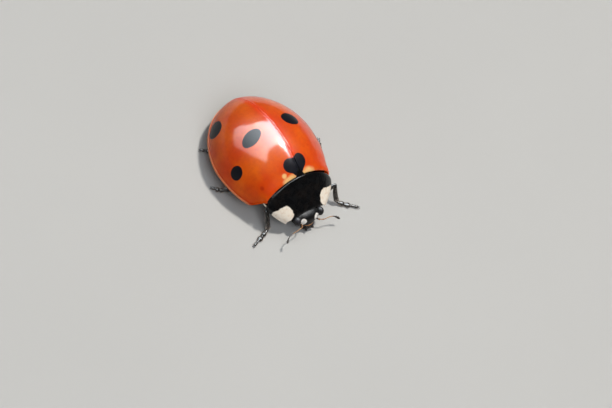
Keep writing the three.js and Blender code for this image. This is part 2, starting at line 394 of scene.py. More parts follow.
def wingCasePoint(column, row):
    outer = wingCase["columns"]
    share = min(column / outer, 1)
    angle = math.pi / 2 * (1 - share ** 1.35)
    first = math.asin(baseStation(angle))
    turn = first + (math.pi / 2 - first) * (row / wingCase["rows"]) ** 1.25
    station = math.sin(turn)
    point = domePoint(station, angle)
    outwards = point - Vector((0, dome["station"], 0.9))
    facing = Vector([part / square for part, square in zip(outwards, wingCase["facing"])]).normalized()
    seamDrop = wingCase["seamRoll"] * math.exp(-point.x / wingCase["seamRollWidth"])
    ridge = wingCase["seamRidge"] * math.exp(
        -((point.x - wingCase["seamRidgeAt"]) / wingCase["seamRidgeWidth"]) ** 2
    )
    fromBase = max(point.y - baseLine(point.x), 0)
    baseDrop = wingCase["baseRoll"] * math.exp(-fromBase / wingCase["baseRollWidth"])
    callusX, callusY, callusHeight, callusWidth = wingCase["callus"]
    away = math.hypot(point.x - callusX, point.y - callusY) / callusWidth
    swelling = callusHeight * math.exp(-away * away) * share * (1 - share) * 4
    fade = min(point.x / 0.1, 1) if share == 1 else 1
    plateEdge = scutellum["halfWidth"] * scutellumShare(point.y)
    notch = scutellum["sink"] * smoothStep(plateEdge - point.x, -0.02, 0.02)
    point += facing * (ridge - seamDrop - baseDrop * (1 - share ** 4) + swelling - notch) * fade
    if column > outer:
        step = 1e-3
        ahead = domePoint(math.sin(max(turn - step, first)), 0)
        behind = domePoint(math.sin(min(turn + step, math.pi / 2)), 0)
        out = Vector((behind.y - ahead.y, ahead.x - behind.x, 0)).normalized()
        outward, upward = wingCase["edge"][column - outer - 1]
        if outward > 0:
            outward *= 0.35 + 0.65 * smoothStep(row / wingCase["rows"], 0, 0.12)
        point = domePoint(station, 0) + out * outward + Vector((0, 0, upward))
    point.x = max(point.x, wingCase["seam"])
    return point


def wingCaseMesh():
    bm = gridSheet(wingCase["columns"] + len(wingCase["edge"]), wingCase["rows"], wingCasePoint)
    bmesh.ops.remove_doubles(bm, verts=bm.verts, dist=0.0008)
    faceTowards(bm, Vector((0, 0, 1)))
    return thicken(bm, wingCase["thickness"])


spots = {
    "edge": 0.03,
    "roughEdge": 0.05,
    # seen from above: x, y, half length, half width, and the direction of its length in degrees
    "places": {
        "medianRight": (-1.34, 0.80, 0.54, 0.37, 195.7),
        "medianLeft": (1.14, 0.86, 0.49, 0.39, 159.6),
        "frontRight": (-2.55, -0.08, 0.33, 0.19, 101.5),
        "frontLeft": (2.55, -0.08, 0.33, 0.19, 78.5),
        "rearRight": (-1.90, 2.76, 0.47, 0.21, 224.6),
        "rearLeft": (1.90, 2.76, 0.47, 0.21, -44.6),
    },
}
shieldSpot = {
    "lobes": ((-0.38, -1.40, 0.36, 0.35), (0.26, -1.37, 0.33, 0.37), (-0.06, -1.62, 0.32, 0.42)),
    "blend": 0.85,
}
# pale patches by the scutellum: side, place across and along, half width and half length
creamPatches = ((-1, 0.60, -1.97, 0.24, 0.50), (-1, 0.82, -1.62, 0.14, 0.15), (1, 0.50, -1.97, 0.30, 0.48))
shellLook = {
    "rimHighlightZ": ((0.90, 0.94), (0.985, 1.002)),  # where the rim's painted highlight begins and ends
    "gloss": ((1.7, 0.05), (2.85, 1.0)),  # height and gloss, low on the flanks and high on the back
    "spotGloss": 0.40,
}
shoulderMark = {"center": (-1.97, -1.52, 2.08), "axes": ((0.07, 0.03, 0), (-0.05, 0.12, 0), (0, 0, 0.3))}


def blobAxes(x, y, length, width, degrees):
    # the half axes on the dome of a spot that is measured from above
    center, facing = domeSpot(x, y)
    turn = math.radians(degrees)
    along = Vector((math.cos(turn), math.sin(turn), 0)) * length
    across = Vector((-math.sin(turn), math.cos(turn), 0)) * width
    for axis in (along, across):
        axis.z = -(facing.x * axis.x + facing.y * axis.y) / facing.z
    across -= along * (along.dot(across) / along.length_squared)
    return center, (along, across, along.cross(across).normalized() * 1.2)


def shellMaterial():
    colors = {
        "orange": (0.86, 0.135, 0.003),
        "red": (0.72, 0.062, 0.002),
        "deepRed": (0.50, 0.025, 0.001),
        "seam": (0.90, 0.052, 0.003),
        "cream": (0.94, 0.52, 0.20),
        # a painted highlight colour for the rim bead
        "rim": (0.94, 0.40, 0.17),
        "spot": (0.005, 0.005, 0.009),
    }
    material, nodes, shader = newMaterial("wingCaseShell", specular=0.12, coat=1.0, coatRoughness=0.09)
    shader.inputs["Coat IOR"].default_value = 1.4
    x, y, z = nodes.xyz
    clouds = nodes.noise(0.55, detail=2)
    mottle = nodes.noise(5.0, detail=4)
    color = nodes.mix(nodes.remap(clouds, 0.36, 0.66), colors["red"], colors["orange"])
    color = nodes.mix(nodes.remap(mottle, 0.25, 0.9, 0, 0.35), color, colors["deepRed"])
    # redder along the seam and round the shoulders
    seamBand = nodes.remap(nodes.math("ABSOLUTE", x), 0.10, 0.34, 1, 0)
    color = nodes.mix(nodes.math("MULTIPLY", seamBand, 0.55), color, colors["seam"])
    shoulder = nodes.remap(y, -2.2, -0.9, 1, 0)
    color = nodes.mix(nodes.math("MULTIPLY", shoulder, 0.35), color, colors["red"])
    # cream patches on either side of the scutellum
    warp = nodes.remap(nodes.noise(3.0, detail=3), 0, 1, -0.22, 0.22, smooth=False)
    for hand, aside, along, width, reach in creamPatches:
        patch = nodes.blob(Vector((hand * aside, along, 2.6)), (
            Vector((reach, 0, -hand * reach * 0.3)), Vector((0, width, width * 0.6)), Vector((0, 0, 0.9)),
        ))
        patch = nodes.math("ADD", patch, warp)
        color = nodes.mix(nodes.remap(patch, 0.45, 1.1, 1, 0), color, colors["cream"])
    # a small darker mark on the right shoulder
    mark = nodes.blob(Vector(shoulderMark["center"]), [Vector(axis) for axis in shoulderMark["axes"]])
    color = nodes.mix(nodes.remap(mark, 0.4, 1.3, 0.8, 0), color, colors["deepRed"])
    # the rim bead is painted paler, a painted highlight along the bead
    (low, full), (fades, high) = shellLook["rimHighlightZ"]
    rim = nodes.math("MULTIPLY", nodes.remap(z, fades, high, 1, 0), nodes.remap(z, low, full, 0, 1))
    color = nodes.mix(nodes.math("MULTIPLY", rim, 0.8), color, colors["rim"])
    # black spots
    rough = spots["roughEdge"]
    wobble = nodes.remap(nodes.noise(2.6, detail=2), 0, 1, -rough, rough, smooth=False)
    nearest = None
    for spot in spots["places"].values():
        distance = nodes.blob(*blobAxes(*spot))
        nearest = nodes.math("MINIMUM", nearest, distance) if nearest else distance
    lobes = None
    for lobeX, lobeY, halfWidth, halfLength in shieldSpot["lobes"]:
        distance = nodes.blob(domeSpot(lobeX, lobeY)[0], (
            Vector((halfWidth, 0, 0)), Vector((0, halfLength, 0.1)), Vector((0, 0, 0.9)),
        ))
        lobes = nodes.math("SMOOTH_MIN", lobes, distance, shieldSpot["blend"]) if lobes else distance
    nearest = nodes.math("MINIMUM", nearest, lobes)
    nearest = nodes.math("ADD", nearest, wobble)
    black = nodes.remap(nearest, 1 - spots["edge"], 1 + spots["edge"], 1, 0)
    color = nodes.mix(black, color, colors["spot"])
    nodes.join(color, shader.inputs["Base Color"])
    (dullZ, dullest), (glossyZ, glossiest) = shellLook["gloss"]
    gloss = nodes.remap(z, dullZ, glossyZ, dullest, glossiest)
    gloss = nodes.math("MULTIPLY", gloss, nodes.remap(black, 0, 1, 1.0, shellLook["spotGloss"]))
    nodes.join(gloss, shader.inputs["Coat Weight"])
    # fine pits and faint waves
    pits = nodes.remap(nodes.cells(11.0), 0.05, 0.28)
    relief = nodes.bump(pits, 0.0000022, 0.6)
    relief = nodes.bump(nodes.noise(1.6, detail=1), 0.00001, 0.5, relief)
    nodes.join(relief, shader.inputs["Normal"])
    nodes.join(relief, shader.inputs["Coat Normal"])
    nodes.join(nodes.remap(mottle, 0.2, 0.8, 0.28, 0.4), shader.inputs["Roughness"])
    shader.inputs["Subsurface Weight"].default_value = 0.12
    shader.inputs["Subsurface Radius"].default_value = (0.0004, 0.00008, 0.00003)
    shader.inputs["Subsurface Scale"].default_value = 1.0
    return material


shellFinish = shellMaterial()
finishPiece(wingCaseMesh(), "wingCaseLeft", shellFinish, ["elytron_left"], 50)
finishPiece(mirrored(wingCaseMesh()), "wingCaseRight", shellFinish, ["elytron_right"], 50)
print("wing cases made")


def scutellumPoint(column, row):
    along = row / scutellum["rows"]
    across = 2 * column / scutellum["columns"] - 1
    y = base["y"] - 0.04 + (scutellum["length"] + 0.02) * along
    x = across * (scutellum["halfWidth"] * scutellumShare(y) ** 0.9 + 0.012)
    height = domeSpot(x, y)[0].z - scutellum["sink"] * 0.2 + scutellum["rise"]
    rounding = 0.02 * abs(across) ** 6 + 0.05 * math.exp(-along / 0.12)
    return Vector((x, y, height - rounding))


def scutellumMesh():
    bm = gridSheet(scutellum["columns"], scutellum["rows"], scutellumPoint)
    faceTowards(bm, Vector((0, 0, 1)))
    return thicken(bm, scutellum["thickness"])


# pronotum

pronotum = {
    "halfWidth": 2.05,
    "taper": 0.78,
    "taperPower": 1.6,
    "hindEdgeZ": 1.45,
    "edgeDrop": 0.68,
    "hindTopZ": 2.655,
    "topDrop": 1.52,
    "crown": 1.55,  # how full the cross-section is
    "crownGrowth": 1.05,  # it is squarer towards the head
    "soften": 0.14,  # takes the crease out of the middle
    "frontY": -3.30,
    "horn": 0.02,
    "hindCorner": 0.15,
    "frontCorner": 0.07,
    "gap": 0.02,
    "columns": 90,
    "rows": 48,
    "thickness": 0.07,
    "hindRoll": 0.05,
    "frontRoll": 0.04,
    "rollWidth": 0.045,
    # out and up from the side margin: the bead, then the fold underneath
    "edge": (
        (0.008, -0.006), (0.015, -0.02), (0.017, -0.038), (0.012, -0.056), (0.0, -0.066),
        (-0.08, -0.06), (-0.22, -0.02), (-0.38, 0.06), (-0.5, 0.16),
    ),
}


def pronotumPoint(across, forward):
    side = abs(across)
    even = math.sqrt(across ** 2 + pronotum["soften"] ** 2) - pronotum["soften"]
    even /= math.sqrt(1 + pronotum["soften"] ** 2) - pronotum["soften"]
    hindY = base["y"] - pronotum["gap"] - base["bow"] * side ** 2 - pronotum["hindCorner"] * side ** 14
    frontY = pronotum["frontY"] - pronotum["horn"] * side ** 1.5 + pronotum["frontCorner"] * side ** 12
    halfWidth = pronotum["halfWidth"] - pronotum["taper"] * forward ** pronotum["taperPower"]
    crown = pronotum["crown"] + pronotum["crownGrowth"] * forward
    edgeZ = pronotum["hindEdgeZ"] - pronotum["edgeDrop"] * forward ** 1.2
    topZ = pronotum["hindTopZ"] - pronotum["topDrop"] * forward
    return Vector((
        halfWidth * across,
        hindY + (frontY - hindY) * forward,
        edgeZ + (topZ - edgeZ) * superCurve(even, crown),
    ))


def pronotumSheetPoint(column, row):
    fold = len(pronotum["edge"])
    outer = pronotum["columns"]
    forward = row / pronotum["rows"]
    forward = forward - 0.12 * math.sin(2 * math.pi * forward)  # closer rows at both ends
    turn = math.pi / 2 * (2 * min(max(column - fold, 0), outer) / outer - 1)
    across = math.sin(turn)
    point = pronotumPoint(across, forward)
    side = math.copysign(1, across)
    if column < fold or column > outer + fold:
        step = 1e-3
        ahead = pronotumPoint(side, min(forward + step, 1))
        behind = pronotumPoint(side, max(forward - step, 0))
        out = Vector((ahead.y - behind.y, behind.x - ahead.x, 0)).normalized()
        out *= math.copysign(1, out.x * side)
        place = fold - column - 1 if column < fold else column - outer - fold - 1
        outward, upward = pronotum["edge"][place]
        return point + out * outward + Vector((0, 0, upward))
    length = (pronotumPoint(across, 0) - pronotumPoint(across, 1)).length
    hind = pronotum["hindRoll"] * math.exp(-forward * length / pronotum["rollWidth"])
    front = pronotum["frontRoll"] * math.exp(-(1 - forward) * length / pronotum["rollWidth"])
    inward = Vector((-point.x * 0.35, 0, -1)).normalized()
    return point + inward * (hind + front) * math.cos(turn) ** 0.5


def pronotumMesh():
    columns = pronotum["columns"] + 2 * len(pronotum["edge"])
    bm = gridSheet(columns, pronotum["rows"], pronotumSheetPoint)
    bmesh.ops.remove_doubles(bm, verts=bm.verts, dist=0.0005)
    faceTowards(bm, Vector((0, 0, 1)))
    return thicken(bm, pronotum["thickness"])


# a pale corner patch is the ground between four lines, seen from above on the left side
cornerPatch = {
    "lines": (  # a point on the line, and the way to the outside
        ((1.50, -2.74), (-0.16, 1.0)),
        ((0.90, -3.03), (-0.87, 0.49)),
        ((0.93, -3.22), (-0.49, -0.87)),
    ),
    "blend": 0.22,
    "edge": 0.018,
}


def patchMask(nodes):
    reach = None
    y = nodes.xyz["Y"]
    side = nodes.math("ABSOLUTE", nodes.xyz["X"])
    for (atX, atY), (outX, outY) in cornerPatch["lines"]:
        length = math.hypot(outX, outY)
        outX, outY = outX / length, outY / length
        part = nodes.math("MULTIPLY", side, outX)
        part = nodes.math("ADD", part, nodes.math("MULTIPLY", y, outY))
        part = nodes.math("SUBTRACT", part, atX * outX + atY * outY)
        reach = nodes.math("SMOOTH_MAX", reach, part, cornerPatch["blend"]) if reach else part
    wobble = nodes.remap(nodes.noise(3.0, detail=2), 0, 1, -0.10, 0.06, smooth=False)
    reach = nodes.math("ADD", reach, wobble)
    return nodes.remap(reach, -cornerPatch["edge"], cornerPatch["edge"], 1, 0)


def blackShellMaterial(name, spotMask=None, spotColor=(0.88, 0.79, 0.67), coat=0.32, roughness=0.22):
    colors = {
        "black": (0.0018, 0.0018, 0.002),
        "brown": (0.005, 0.0035, 0.0028),
        "pale": spotColor,
        "tan": [part * share for part, share in zip(spotColor, (0.90, 0.82, 0.75))],
    }
    material, nodes, shader = newMaterial(name, specular=0.18, coat=coat, coatRoughness=0.05)
    color = nodes.mix(nodes.remap(nodes.noise(2.5), 0.4, 0.7), colors["black"], colors["brown"])
    if spotMask:
        pale = nodes.mix(nodes.remap(nodes.noise(7.0, detail=4), 0.42, 0.72), colors["pale"], colors["tan"])
        color = nodes.mix(spotMask(nodes), color, pale)
    nodes.join(color, shader.inputs["Base Color"])
    pits = nodes.cells(14.0)
    relief = nodes.bump(nodes.remap(pits, 0.05, 0.3), 0.0000018, 0.5)
    relief = nodes.bump(nodes.noise(60.0, detail=2), 0.0000006, 0.5, relief)
    nodes.join(relief, shader.inputs["Normal"])
    nodes.join(relief, shader.inputs["Coat Normal"])
    dullness = nodes.remap(nodes.noise(4.0, detail=4), 0.3, 0.7, roughness, roughness + 0.12)
    nodes.join(dullness, shader.inputs["Roughness"])
    return material


plainBlack = blackShellMaterial("blackShell")
finishPiece(scutellumMesh(), "scutellumPlate", plainBlack, ["scutellum"], 50)
collarFinish = blackShellMaterial("pronotumShell", patchMask)
finishPiece(pronotumMesh(), "pronotumShield", collarFinish, ["pronotum"], 50)
print("pronotum made")


# head

head = {
    "center": (0, -3.17, 0.70),
    "radii": (0.85, 0.53, 0.43),
    "boxiness": 2.35,  # 2 is a ball
    "browDip": 0.02,
    "socket": 0.05,
    "narrowFromZ": 0.62,  # the face narrows from here towards the mouth
    "narrowOver": 0.35,
    "narrowing": 0.34,
}
eye = {"center": (0.725, -3.45, 0.88), "radii": (0.19, 0.225, 0.26), "facets": 5, "facetHeight": 0.0028}
headSpots = {
    "center": (0.41, -3.64, 0.83),
    "halfSize": (0.165, 0.24, 0.185),
    "lean": 0.25,
    "color": (0.88, 0.86, 0.82),
}


def headMesh():
    bm = ballSolid((0, 0, 0), (1, 1, 1), 96, 64)

    def rule(p):
        p = boxyBall(p, head["boxiness"])
        point = Vector([c + r * v for c, r, v in zip(head["center"], head["radii"], p)])
        # a shallow dip round each eye and between the feelers' roots
        away = (Vector((abs(point.x), point.y, point.z)) - Vector(eye["center"])).length
        point.y += head["socket"] * math.exp(-((away - 0.3) / 0.06) ** 2) * max(-p.y, 0)
        point.y += head["browDip"] * math.exp(-(point.x / 0.25) ** 2 - ((point.z - 1.15) / 0.2) ** 2)
        if point.z < head["narrowFromZ"]:
            drop = (head["narrowFromZ"] - point.z) / head["narrowOver"]
            point.x *= 1 - head["narrowing"] * smoothStep(drop, 0, 1)
        return point

    movePoints(bm, rule)
    return bm


def headSpotMask(nodes):
    x, y, z = nodes.xyz
    spot = nodes.add("ShaderNodeCombineXYZ", {"X": nodes.math("ABSOLUTE", x), "Y": y, "Z": z}).outputs[0]
    turn = (0, -headSpots["lean"], 0)
    local = nodes.mapping(spot, headSpots["center"], turn, headSpots["halfSize"], kind="TEXTURE")
    distance = nodes.vectorMath("LENGTH", local)
    distance = nodes.math("ADD", distance, nodes.remap(nodes.noise(9.0), 0, 1, -0.12, 0.12, smooth=False))
    return nodes.remap(distance, 0.93, 1.07, 1, 0)


def eyeMesh(side):
    # rounded facets: every point of a coarser ball stands proud of its finer neighbours
    bm = bmesh.new()
    bmesh.ops.create_icosphere(bm, subdivisions=eye["facets"], radius=1)
    coarse = {tuple(round(v, 4) for v in vert.co) for vert in bm.verts}
    bmesh.ops.subdivide_edges(bm, edges=bm.edges[:], cuts=1, use_grid_fill=True)
    bm.verts.index_update()
    raised = [vert.index for vert in bm.verts if tuple(round(v, 4) for v in vert.co) in coarse]
    for vert in bm.verts:
        vert.co.normalize()
    bmesh.ops.scale(bm, vec=eye["radii"], verts=bm.verts)
    bm.normal_update()
    bm.verts.ensure_lookup_table()
    for index in raised:
        bm.verts[index].co += bm.verts[index].normal * eye["facetHeight"]
    center = eye["center"]
    bmesh.ops.translate(bm, vec=(side * center[0], center[1], center[2]), verts=bm.verts)
    return bm


def eyeMaterial():
    colors = {"dark": (0.005, 0.0045, 0.005), "grey": (0.022, 0.02, 0.027), "brown": (0.03, 0.018, 0.016)}
    material, nodes, shader = newMaterial("eyeFacets", specular=0.3, coat=0.05, coatRoughness=0.2)
    mottle = nodes.noise(7.0, detail=4)
    color = nodes.mix(nodes.remap(mottle, 0.4, 0.65), colors["dark"], colors["grey"])
    color = nodes.mix(nodes.remap(nodes.noise(3.0), 0.5, 0.75, 0, 0.6), color, colors["brown"])
    nodes.join(color, shader.inputs["Base Color"])
    cells = nodes.cells(42.0)
    nodes.join(nodes.bump(cells, -0.000002, 0.6), shader.inputs["Normal"])
    nodes.join(nodes.remap(mottle, 0.3, 0.7, 0.42, 0.58), shader.inputs["Roughness"])
    return material


headFinish = blackShellMaterial("headShell", headSpotMask, headSpots["color"], coat=0.03, roughness=0.4)
finishPiece(headMesh(), "headCapsule", headFinish, ["head"])
eyeFinish = eyeMaterial()
for side, hand in ((1, "left"), (-1, "right")):
    finishPiece(eyeMesh(side), "eye" + hand.capitalize(), eyeFinish, ["eye_" + hand])


# face plates and mouthparts

face = {
    "lipTopZ": 0.78,
    "lipZ": 0.475,
    "lipTopY": -3.60,
    "lipY": -3.765,
    "lipHalfWidth": 0.34,
    "lipTopHalfWidth": 0.42,
    "lipBow": 0.10,  # how far its front edge curves back at the ends
    "labrumZ": 0.31,
    "labrumY": -3.80,
    "labrumHalfWidth": 0.25,
    "thickness": 0.05,
    "clypeusGrid": (24, 14),
    "labrumGrid": (20, 10),
}


def gridShares(grid, column, row):
    # the share of the way down, and the place across from -1 to 1
    return row / grid[1], 2 * column / grid[0] - 1


def clypeusPoint(column, row):
    along, across = gridShares(face["clypeusGrid"], column, row)
    halfWidth = face["lipTopHalfWidth"] + (face["lipHalfWidth"] - face["lipTopHalfWidth"]) * along
    y = face["lipTopY"] + (face["lipY"] - face["lipTopY"]) * math.sin(along * math.pi / 2)
    y += face["lipBow"] * across ** 2
    z = face["lipTopZ"] + (face["lipZ"] - face["lipTopZ"]) * along + 0.05 * across ** 2 * along
    return Vector((across * halfWidth, y, z))


def labrumPoint(column, row):
    along, across = gridShares(face["labrumGrid"], column, row)
    halfWidth = face["labrumHalfWidth"] * (1 - 0.35 * along ** 3)
    y = face["lipY"] + 0.03 + (face["labrumY"] - face["lipY"] - 0.03) * math.sin(along * 2.2)
    y += 0.1 * across ** 2
    z = face["lipZ"] - 0.005 + (face["labrumZ"] - face["lipZ"]) * along + 0.04 * across ** 2
    return Vector((across * halfWidth, y, z))


def facePlate(grid, rule):
    bm = gridSheet(*grid, rule)
    faceTowards(bm, Vector((0, -1, 0)))
    return thicken(bm, face["thickness"])


def placeAlong(bm, start, end, wide=None, flat=1.0, bow=0.0):
    # lays a solid that stands on Z from start to end; it is thin across its wide direction
    start, end = Vector(start), Vector(end)
    axis = (end - start).normalized()
    wide = Vector(wide) if wide else axis.orthogonal()
    wide = (wide - axis * wide.dot(axis)).normalized()
    thin = axis.cross(wide)
    length = (end - start).length
    for vert in bm.verts:
        x, y, z = vert.co
        x += bow * math.sin(math.pi * min(max(z / length, 0), 1))
        vert.co = start + wide * x + thin * y * flat + axis * z
    return bm


def smoothProfile(length, stops, count=16):
    # (height, radius) pairs through the given stops, with eased steps and round ends
    profile = [(0, 0)]
    for index in range(count + 1):
        share = index / count
        for (low, lowRadius), (high, highRadius) in zip(stops, stops[1:]):
            if share <= high + 1e-9:
                ease = smoothStep(share, low, high)
                profile.append((share * length, lowRadius + (highRadius - lowRadius) * ease))
                break
    tip = profile[-1][1]
    profile.append((length + tip * 0.3, tip * 0.75))
    profile.append((length + tip * 0.42, 0))
    return profile


def limbPart(start, end, stops, wide=None, flat=1.0, bow=0.0, steps=18, count=14):
    length = (Vector(end) - Vector(start)).length
    bm = turnedSolid(smoothProfile(length, stops, count), steps)
    return placeAlong(bm, start, end, wide, flat, bow)


palps = {
    # joints from root to tip on the left side, then each joint's end radii
    "jawPair": (
        (
            (0.30, -3.44, 0.42), (0.37, -3.54, 0.35), (0.36, -3.63, 0.30),
            (0.28, -3.69, 0.26), (0.17, -3.79, 0.23),
        ),
        ((0.035, 0.05), (0.04, 0.06), (0.04, 0.06), (0.05, 0.10)),
    ),
    "lipPair": (
        ((0.11, -3.62, 0.34), (0.13, -3.72, 0.27), (0.11, -3.80, 0.25)),
        ((0.03, 0.04), (0.035, 0.028)),
    ),
    "flat": 0.9,
    "wide": (1, 0, 0.2),
}


def palpMesh():
    bm = bmesh.new()
    for side in (-1, 1):
        for joints, radii in (palps["jawPair"], palps["lipPair"]):
            for index, (startRadius, endRadius) in enumerate(radii):
                start, end = [Vector((side * x, y, z)) for x, y, z in joints[index:index + 2]]
                stops = ((0, startRadius * 0.7), (0.3, startRadius), (1, endRadius))
                joinInto(bm, limbPart(start, end, stops, palps["wide"], palps["flat"]))
    return bm


jaws = {"root": (0.2, -3.60, 0.42), "tip": (0.015, -3.82, 0.30), "radius": 0.085, "bow": 0.07}
lipBase = {"center": (0, -3.5, 0.48), "radii": (0.3, 0.2, 0.18)}


def jawMesh():
    bm = bmesh.new()
    for side in (-1, 1):
        root, tip = [Vector((side * x, y, z)) for x, y, z in (jaws["root"], jaws["tip"])]
        stops = ((0, jaws["radius"]), (0.5, jaws["radius"] * 0.8), (1, jaws["radius"] * 0.22))
        joinInto(bm, limbPart(root, tip, stops, (side, -0.6, 0), 0.6, jaws["bow"]))
    joinInto(bm, ballSolid(lipBase["center"], lipBase["radii"], 32, 20))
    return bm


def faceMaterial():
    colors = {"black": (0.006, 0.005, 0.005), "amber": (0.55, 0.21, 0.05), "brown": (0.05, 0.022, 0.010)}
    material, nodes, shader = newMaterial("facePlates", roughness=0.32, specular=0.4, coat=0.2)
    z = nodes.xyz["Z"]
    edge = nodes.math("ADD", z, nodes.remap(nodes.noise(8.0), 0, 1, -0.02, 0.02, smooth=False))
    amber = nodes.math("MULTIPLY", nodes.remap(edge, 0.52, 0.55, 1, 0), nodes.remap(edge, 0.455, 0.47))
    color = nodes.mix(nodes.remap(z, 0.3, 0.46, 1, 0), colors["black"], colors["brown"])
    color = nodes.mix(amber, color, colors["amber"])
    nodes.join(color, shader.inputs["Base Color"])
    relief = nodes.bump(nodes.noise(30.0, detail=3), 0.000002, 0.6)
    nodes.join(relief, shader.inputs["Normal"])
    nodes.join(nodes.remap(nodes.noise(9.0), 0.3, 0.7, 0.26, 0.42), shader.inputs["Roughness"])
    return material


faceFinish = faceMaterial()
mouthFinish = mottledMaterial(
    "mouthChitin", (0.007, 0.006, 0.006), (0.035, 0.016, 0.008),
    (4.0, 3, 0.42, 0.66), (9.0, 0.3, 0.5), (40.0, 0.000002, 0.7), roughness=0.4, specular=0.4,
)
clypeusMesh = facePlate(face["clypeusGrid"], clypeusPoint)
labrumMesh = facePlate(face["labrumGrid"], labrumPoint)
finishPiece(clypeusMesh, "clypeus", faceFinish, [], 60)
finishPiece(labrumMesh, "labrum", faceFinish, [], 60)
finishPiece(palpMesh(), "palps", mouthFinish, ["mouthparts"])
finishPiece(jawMesh(), "jaws", mouthFinish)
print("head made")


# feelers

feelers = {
    "left": (
        (0.46, -3.55, 0.62), (0.53, -3.74, 0.62), (0.775, -3.88, 0.66), (0.99, -3.90, 0.70),
        (1.224, -3.947, 0.72), (1.455, -4.05, 0.64), (1.60, -4.15, 0.52),
    ),
    "right": (
        (-0.46, -3.55, 0.62), (-0.60, -3.80, 0.72), (-0.957, -3.873, 0.75), (-1.456, -3.941, 0.72),
        (-1.70, -4.09, 0.68), (-1.816, -4.209, 0.65),
    ),
    # each joint's share of the length, and its radius at the root and at the end
    "joints": (
        (0.13, 0.050, 0.058), (0.08, 0.040, 0.050), (0.13, 0.024, 0.038), (0.09, 0.023, 0.033),
        (0.09, 0.023, 0.033), (0.08, 0.023, 0.034), (0.075, 0.024, 0.036), (0.07, 0.026, 0.042),
        (0.085, 0.032, 0.066), (0.085, 0.050, 0.080), (0.085, 0.060, 0.056),
    ),
    "flat": 0.8,
}


def routePoint(points, share):
    # a smooth line through the points
    spot = share * (len(points) - 1)
    index = min(int(spot), len(points) - 2)
    t = spot - index
    before = Vector(points[max(index - 1, 0)])
    start, end = Vector(points[index]), Vector(points[index + 1])
    after = Vector(points[min(index + 2, len(points) - 1)])
    return (
        start * 2 + (end - before) * t
        + (before * 2 - start * 5 + end * 4 - after) * t ** 2
        + (start * 3 - before - end * 3 + after) * t ** 3
    ) / 2


def feelerMesh(points):
    bm = bmesh.new()
    total = sum(joint[0] for joint in feelers["joints"])
    done = 0
    for length, rootRadius, endRadius in feelers["joints"]:
        start, end = routePoint(points, done / total), routePoint(points, (done + length) / total)
        stops = ((0, rootRadius * 0.75), (0.25, rootRadius), (0.85, endRadius), (1, endRadius * 0.85))
        joinInto(bm, limbPart(start, end, stops, (0, 0, 1), feelers["flat"], steps=16, count=10))
        done += length
    return bm


def feelerMaterial():
    colors = {"amber": (0.30, 0.13, 0.045), "straw": (0.46, 0.25, 0.10), "dark": (0.022, 0.013, 0.009)}
    material, nodes, shader = newMaterial("feelerChitin", roughness=0.42, specular=0.4)
    color = nodes.mix(nodes.remap(nodes.noise(3.5), 0.4, 0.64), colors["amber"], colors["straw"])
    local = nodes.vectorMath("ABSOLUTE", nodes.mapping(nodes.place, (0, 3.55, -0.62)))
    fromRoot = nodes.vectorMath("LENGTH", local)
    color = nodes.mix(nodes.remap(fromRoot, 1.22, 1.42), color, colors["dark"])
    # dark near the root: painted shade where the feeler leaves the head
    color = nodes.mix(nodes.remap(fromRoot, 0.5, 0.58, 1, 0), color, colors["dark"])
    nodes.join(color, shader.inputs["Base Color"])
    nodes.join(nodes.bump(nodes.noise(50.0, detail=3), 0.0000015, 0.7), shader.inputs["Normal"])
    nodes.join(nodes.remap(nodes.noise(10.0), 0.3, 0.7, 0.34, 0.5), shader.inputs["Roughness"])
    return material


feelerFinish = feelerMaterial()
for hand in ("left", "right"):
    name = "feeler" + hand.capitalize()
    finishPiece(feelerMesh(feelers[hand]), name, feelerFinish, ["antenna_" + hand])
print("feelers made")


# legs

legs = {
    # hip, knee and ankle, then the tips of the claws on the floor
    "front_left": ((0.75, -2.50, 0.60), (2.26, -2.60, 1.08), (2.25, -3.10, 0.26), (3.24, -3.88)),
    "front_right": ((-0.75, -2.50, 0.60), (-1.93, -2.30, 1.03), (-2.02, -2.88, 0.26), (-3.21, -3.35)),
    "middle_left": ((0.85, -1.40, 0.58), (2.30, -0.65, 0.80), (3.38, 0.02, 0.27), (3.78, 0.62)),
    "middle_right": ((-0.85, -1.40, 0.58), (-1.75, -0.30, 0.72), (-2.68, 0.09, 0.26), (-3.20, 0.63)),
    "hind_left": ((0.95, 0.20, 0.56), (2.25, 1.25, 0.72), (1.75, 2.35, 0.27), (2.60, 2.85)),
    "hind_right": ((-0.95, 0.20, 0.56), (-2.25, 1.20, 0.72), (-1.60, 2.28, 0.27), (-2.42, 2.80)),
}
legShape = {
    "femur": ((0, 0.09), (0.3, 0.175), (0.62, 0.165), (0.9, 0.12), (1, 0.10)),
    "femurFlat": 0.66,
    "tibia": ((0, 0.09), (0.1, 0.105), (0.6, 0.128), (0.93, 0.14), (1, 0.11)),
    "tibiaFlat": 0.8,
    "tibiaBow": 0.035,
    "trochanter": 0.13,
    # foot joints: start and end as shares of the foot, height of the end, then radii and flatness
    "foot": (
        (0.00, 0.30, 0.115, ((0, 0.06), (0.3, 0.08), (0.85, 0.125), (1, 0.105)), 0.85),
        (0.27, 0.55, 0.085, ((0, 0.065), (0.3, 0.09), (0.8, 0.145), (1, 0.12)), 0.62),
        (0.50, 0.60, 0.105, ((0, 0.055), (0.5, 0.068), (1, 0.06)), 0.9),
        (0.56, 0.88, 0.085, ((0, 0.05), (0.4, 0.06), (0.9, 0.08), (1, 0.07)), 0.9),
    ),
    "clawLength": 0.17,
    "clawRadius": 0.034,
    "clawSpread": 0.42,
    "clawCurl": 0.05,
    "toothShare": 0.45,
}
hips = {
    "front": ((0.50, -2.55, 0.53), (0.40, 0.27, 0.30)),
    "middle": ((0.70, -1.40, 0.51), (0.38, 0.27, 0.28)),
    "hind": ((0.85, 0.10, 0.50), (0.60, 0.22, 0.25)),
}
hairRoots = {"foot": [], "shin": []}  # filled as the legs are made


